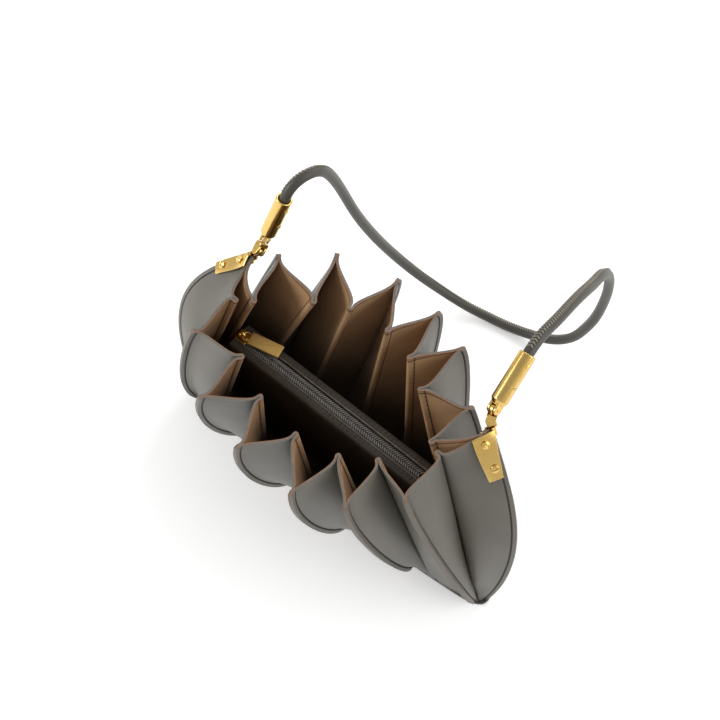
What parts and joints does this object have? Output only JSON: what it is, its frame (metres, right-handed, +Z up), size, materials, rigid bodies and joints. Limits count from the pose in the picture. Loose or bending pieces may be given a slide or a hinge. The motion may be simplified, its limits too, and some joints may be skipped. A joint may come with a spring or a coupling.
{
  "type": "pleated shoulder bag",
  "caption": "Soft leather shoulder bag with deep pleats round an open mouth, a zipped middle pocket and a round strap held by gold metal end fittings.",
  "frame": {"origin": "middle of the sole's underside, on the surface the bag stands on", "axes": "+X along the bag to its right end, +Y to the back where the strap lies, +Z up"},
  "size_m": [0.2628, 0.2517, 0.2085],
  "materials": {
    "leather": "satin grey-taupe leather",
    "sole_leather": "satin dark grey leather",
    "pocket_leather": "soft dark brown leather",
    "tape": "woven black-brown tape",
    "teeth": "dark moulded zip teeth",
    "gold": "polished gold-coloured metal"
  },
  "bodies": {
    "bag": {"leaf_01_a": "leather", "leaf_01_b": "leather", "leaf_02_a": "leather", "leaf_02_b": "leather", "leaf_03_a": "leather", "leaf_03_b": "leather", "leaf_04_a": "leather", "leaf_04_b": "leather", "leaf_05_a": "leather", "leaf_05_b": "leather", "leaf_06_a": "leather", "leaf_06_b": "leather", "leaf_07_a": "leather", "leaf_07_b": "leather", "leaf_08_a": "leather", "leaf_08_b": "leather", "leaf_09_a": "leather", "leaf_09_b": "leather", "leaf_10_a": "leather", "leaf_10_b": "leather", "leaf_11_a": "leather", "leaf_11_b": "leather", "leaf_12_a": "leather", "leaf_12_b": "leather", "leaf_13_a": "leather", "leaf_13_b": "leather", "leaf_14_a": "leather", "leaf_14_b": "leather", "base_panel": "sole_leather", "pocket_front": "pocket_leather", "zip_tape_front": "tape", "pocket_back": "pocket_leather", "zip_tape_back": "tape", "zip_chain": "teeth", "zip_slider": "gold", "left_saddle": "gold", "left_saddle_screw_1": "gold", "left_saddle_screw_2": "gold", "left_link": "gold", "left_link_pin_lower": "gold", "left_link_pin_upper": "gold", "left_ferrule": "gold", "left_ferrule_screw_1": "gold", "left_ferrule_screw_2": "gold", "right_saddle": "gold", "right_saddle_screw_1": "gold", "right_saddle_screw_2": "gold", "right_link": "gold", "right_link_pin_lower": "gold", "right_link_pin_upper": "gold", "right_ferrule": "gold", "right_ferrule_screw_1": "gold", "right_ferrule_screw_2": "gold", "strap": "leather"},
    "pull": {"zip_pull": "gold"}
  },
  "joints": [
    {"name": "zip_pull_hinge", "type": "hinge", "parent": "bag", "child": "pull", "pos_m": [-0.07198, 0.00283, 0.1145], "axis": [0.2113, -0.9774, 0], "range_deg": [0, 65]}
  ]
}
